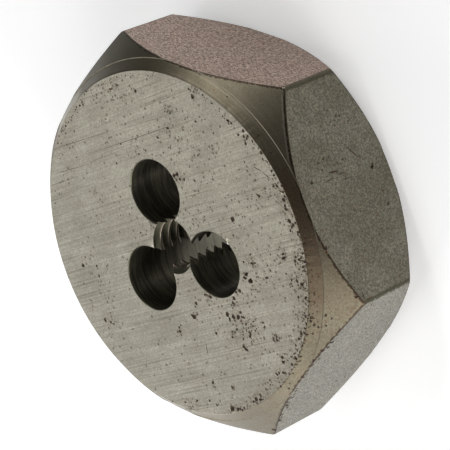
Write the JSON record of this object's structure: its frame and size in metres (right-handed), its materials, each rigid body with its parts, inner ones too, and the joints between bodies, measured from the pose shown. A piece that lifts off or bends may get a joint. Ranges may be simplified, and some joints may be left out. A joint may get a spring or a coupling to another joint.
{
  "type": "hex threading die",
  "caption": "Hexagonal steel die with round faces, chip holes round a threaded bore and toothed lands that cut or clean an outside thread.",
  "frame": {"origin": "middle of the back face, which the die lies on", "axes": "+Z along the thread's axis, out of the front face; corners of the hexagon on the X axis; two flats face +Y and -Y"},
  "size_m": [0.0292, 0.0254, 0.0095],
  "materials": {
    "tool_steel": "ground faces with fine parallel lines, turned cones, milled flats, small rust pits"
  },
  "bodies": {
    "root": {"die_body": "tool_steel"}
  },
  "joints": []
}
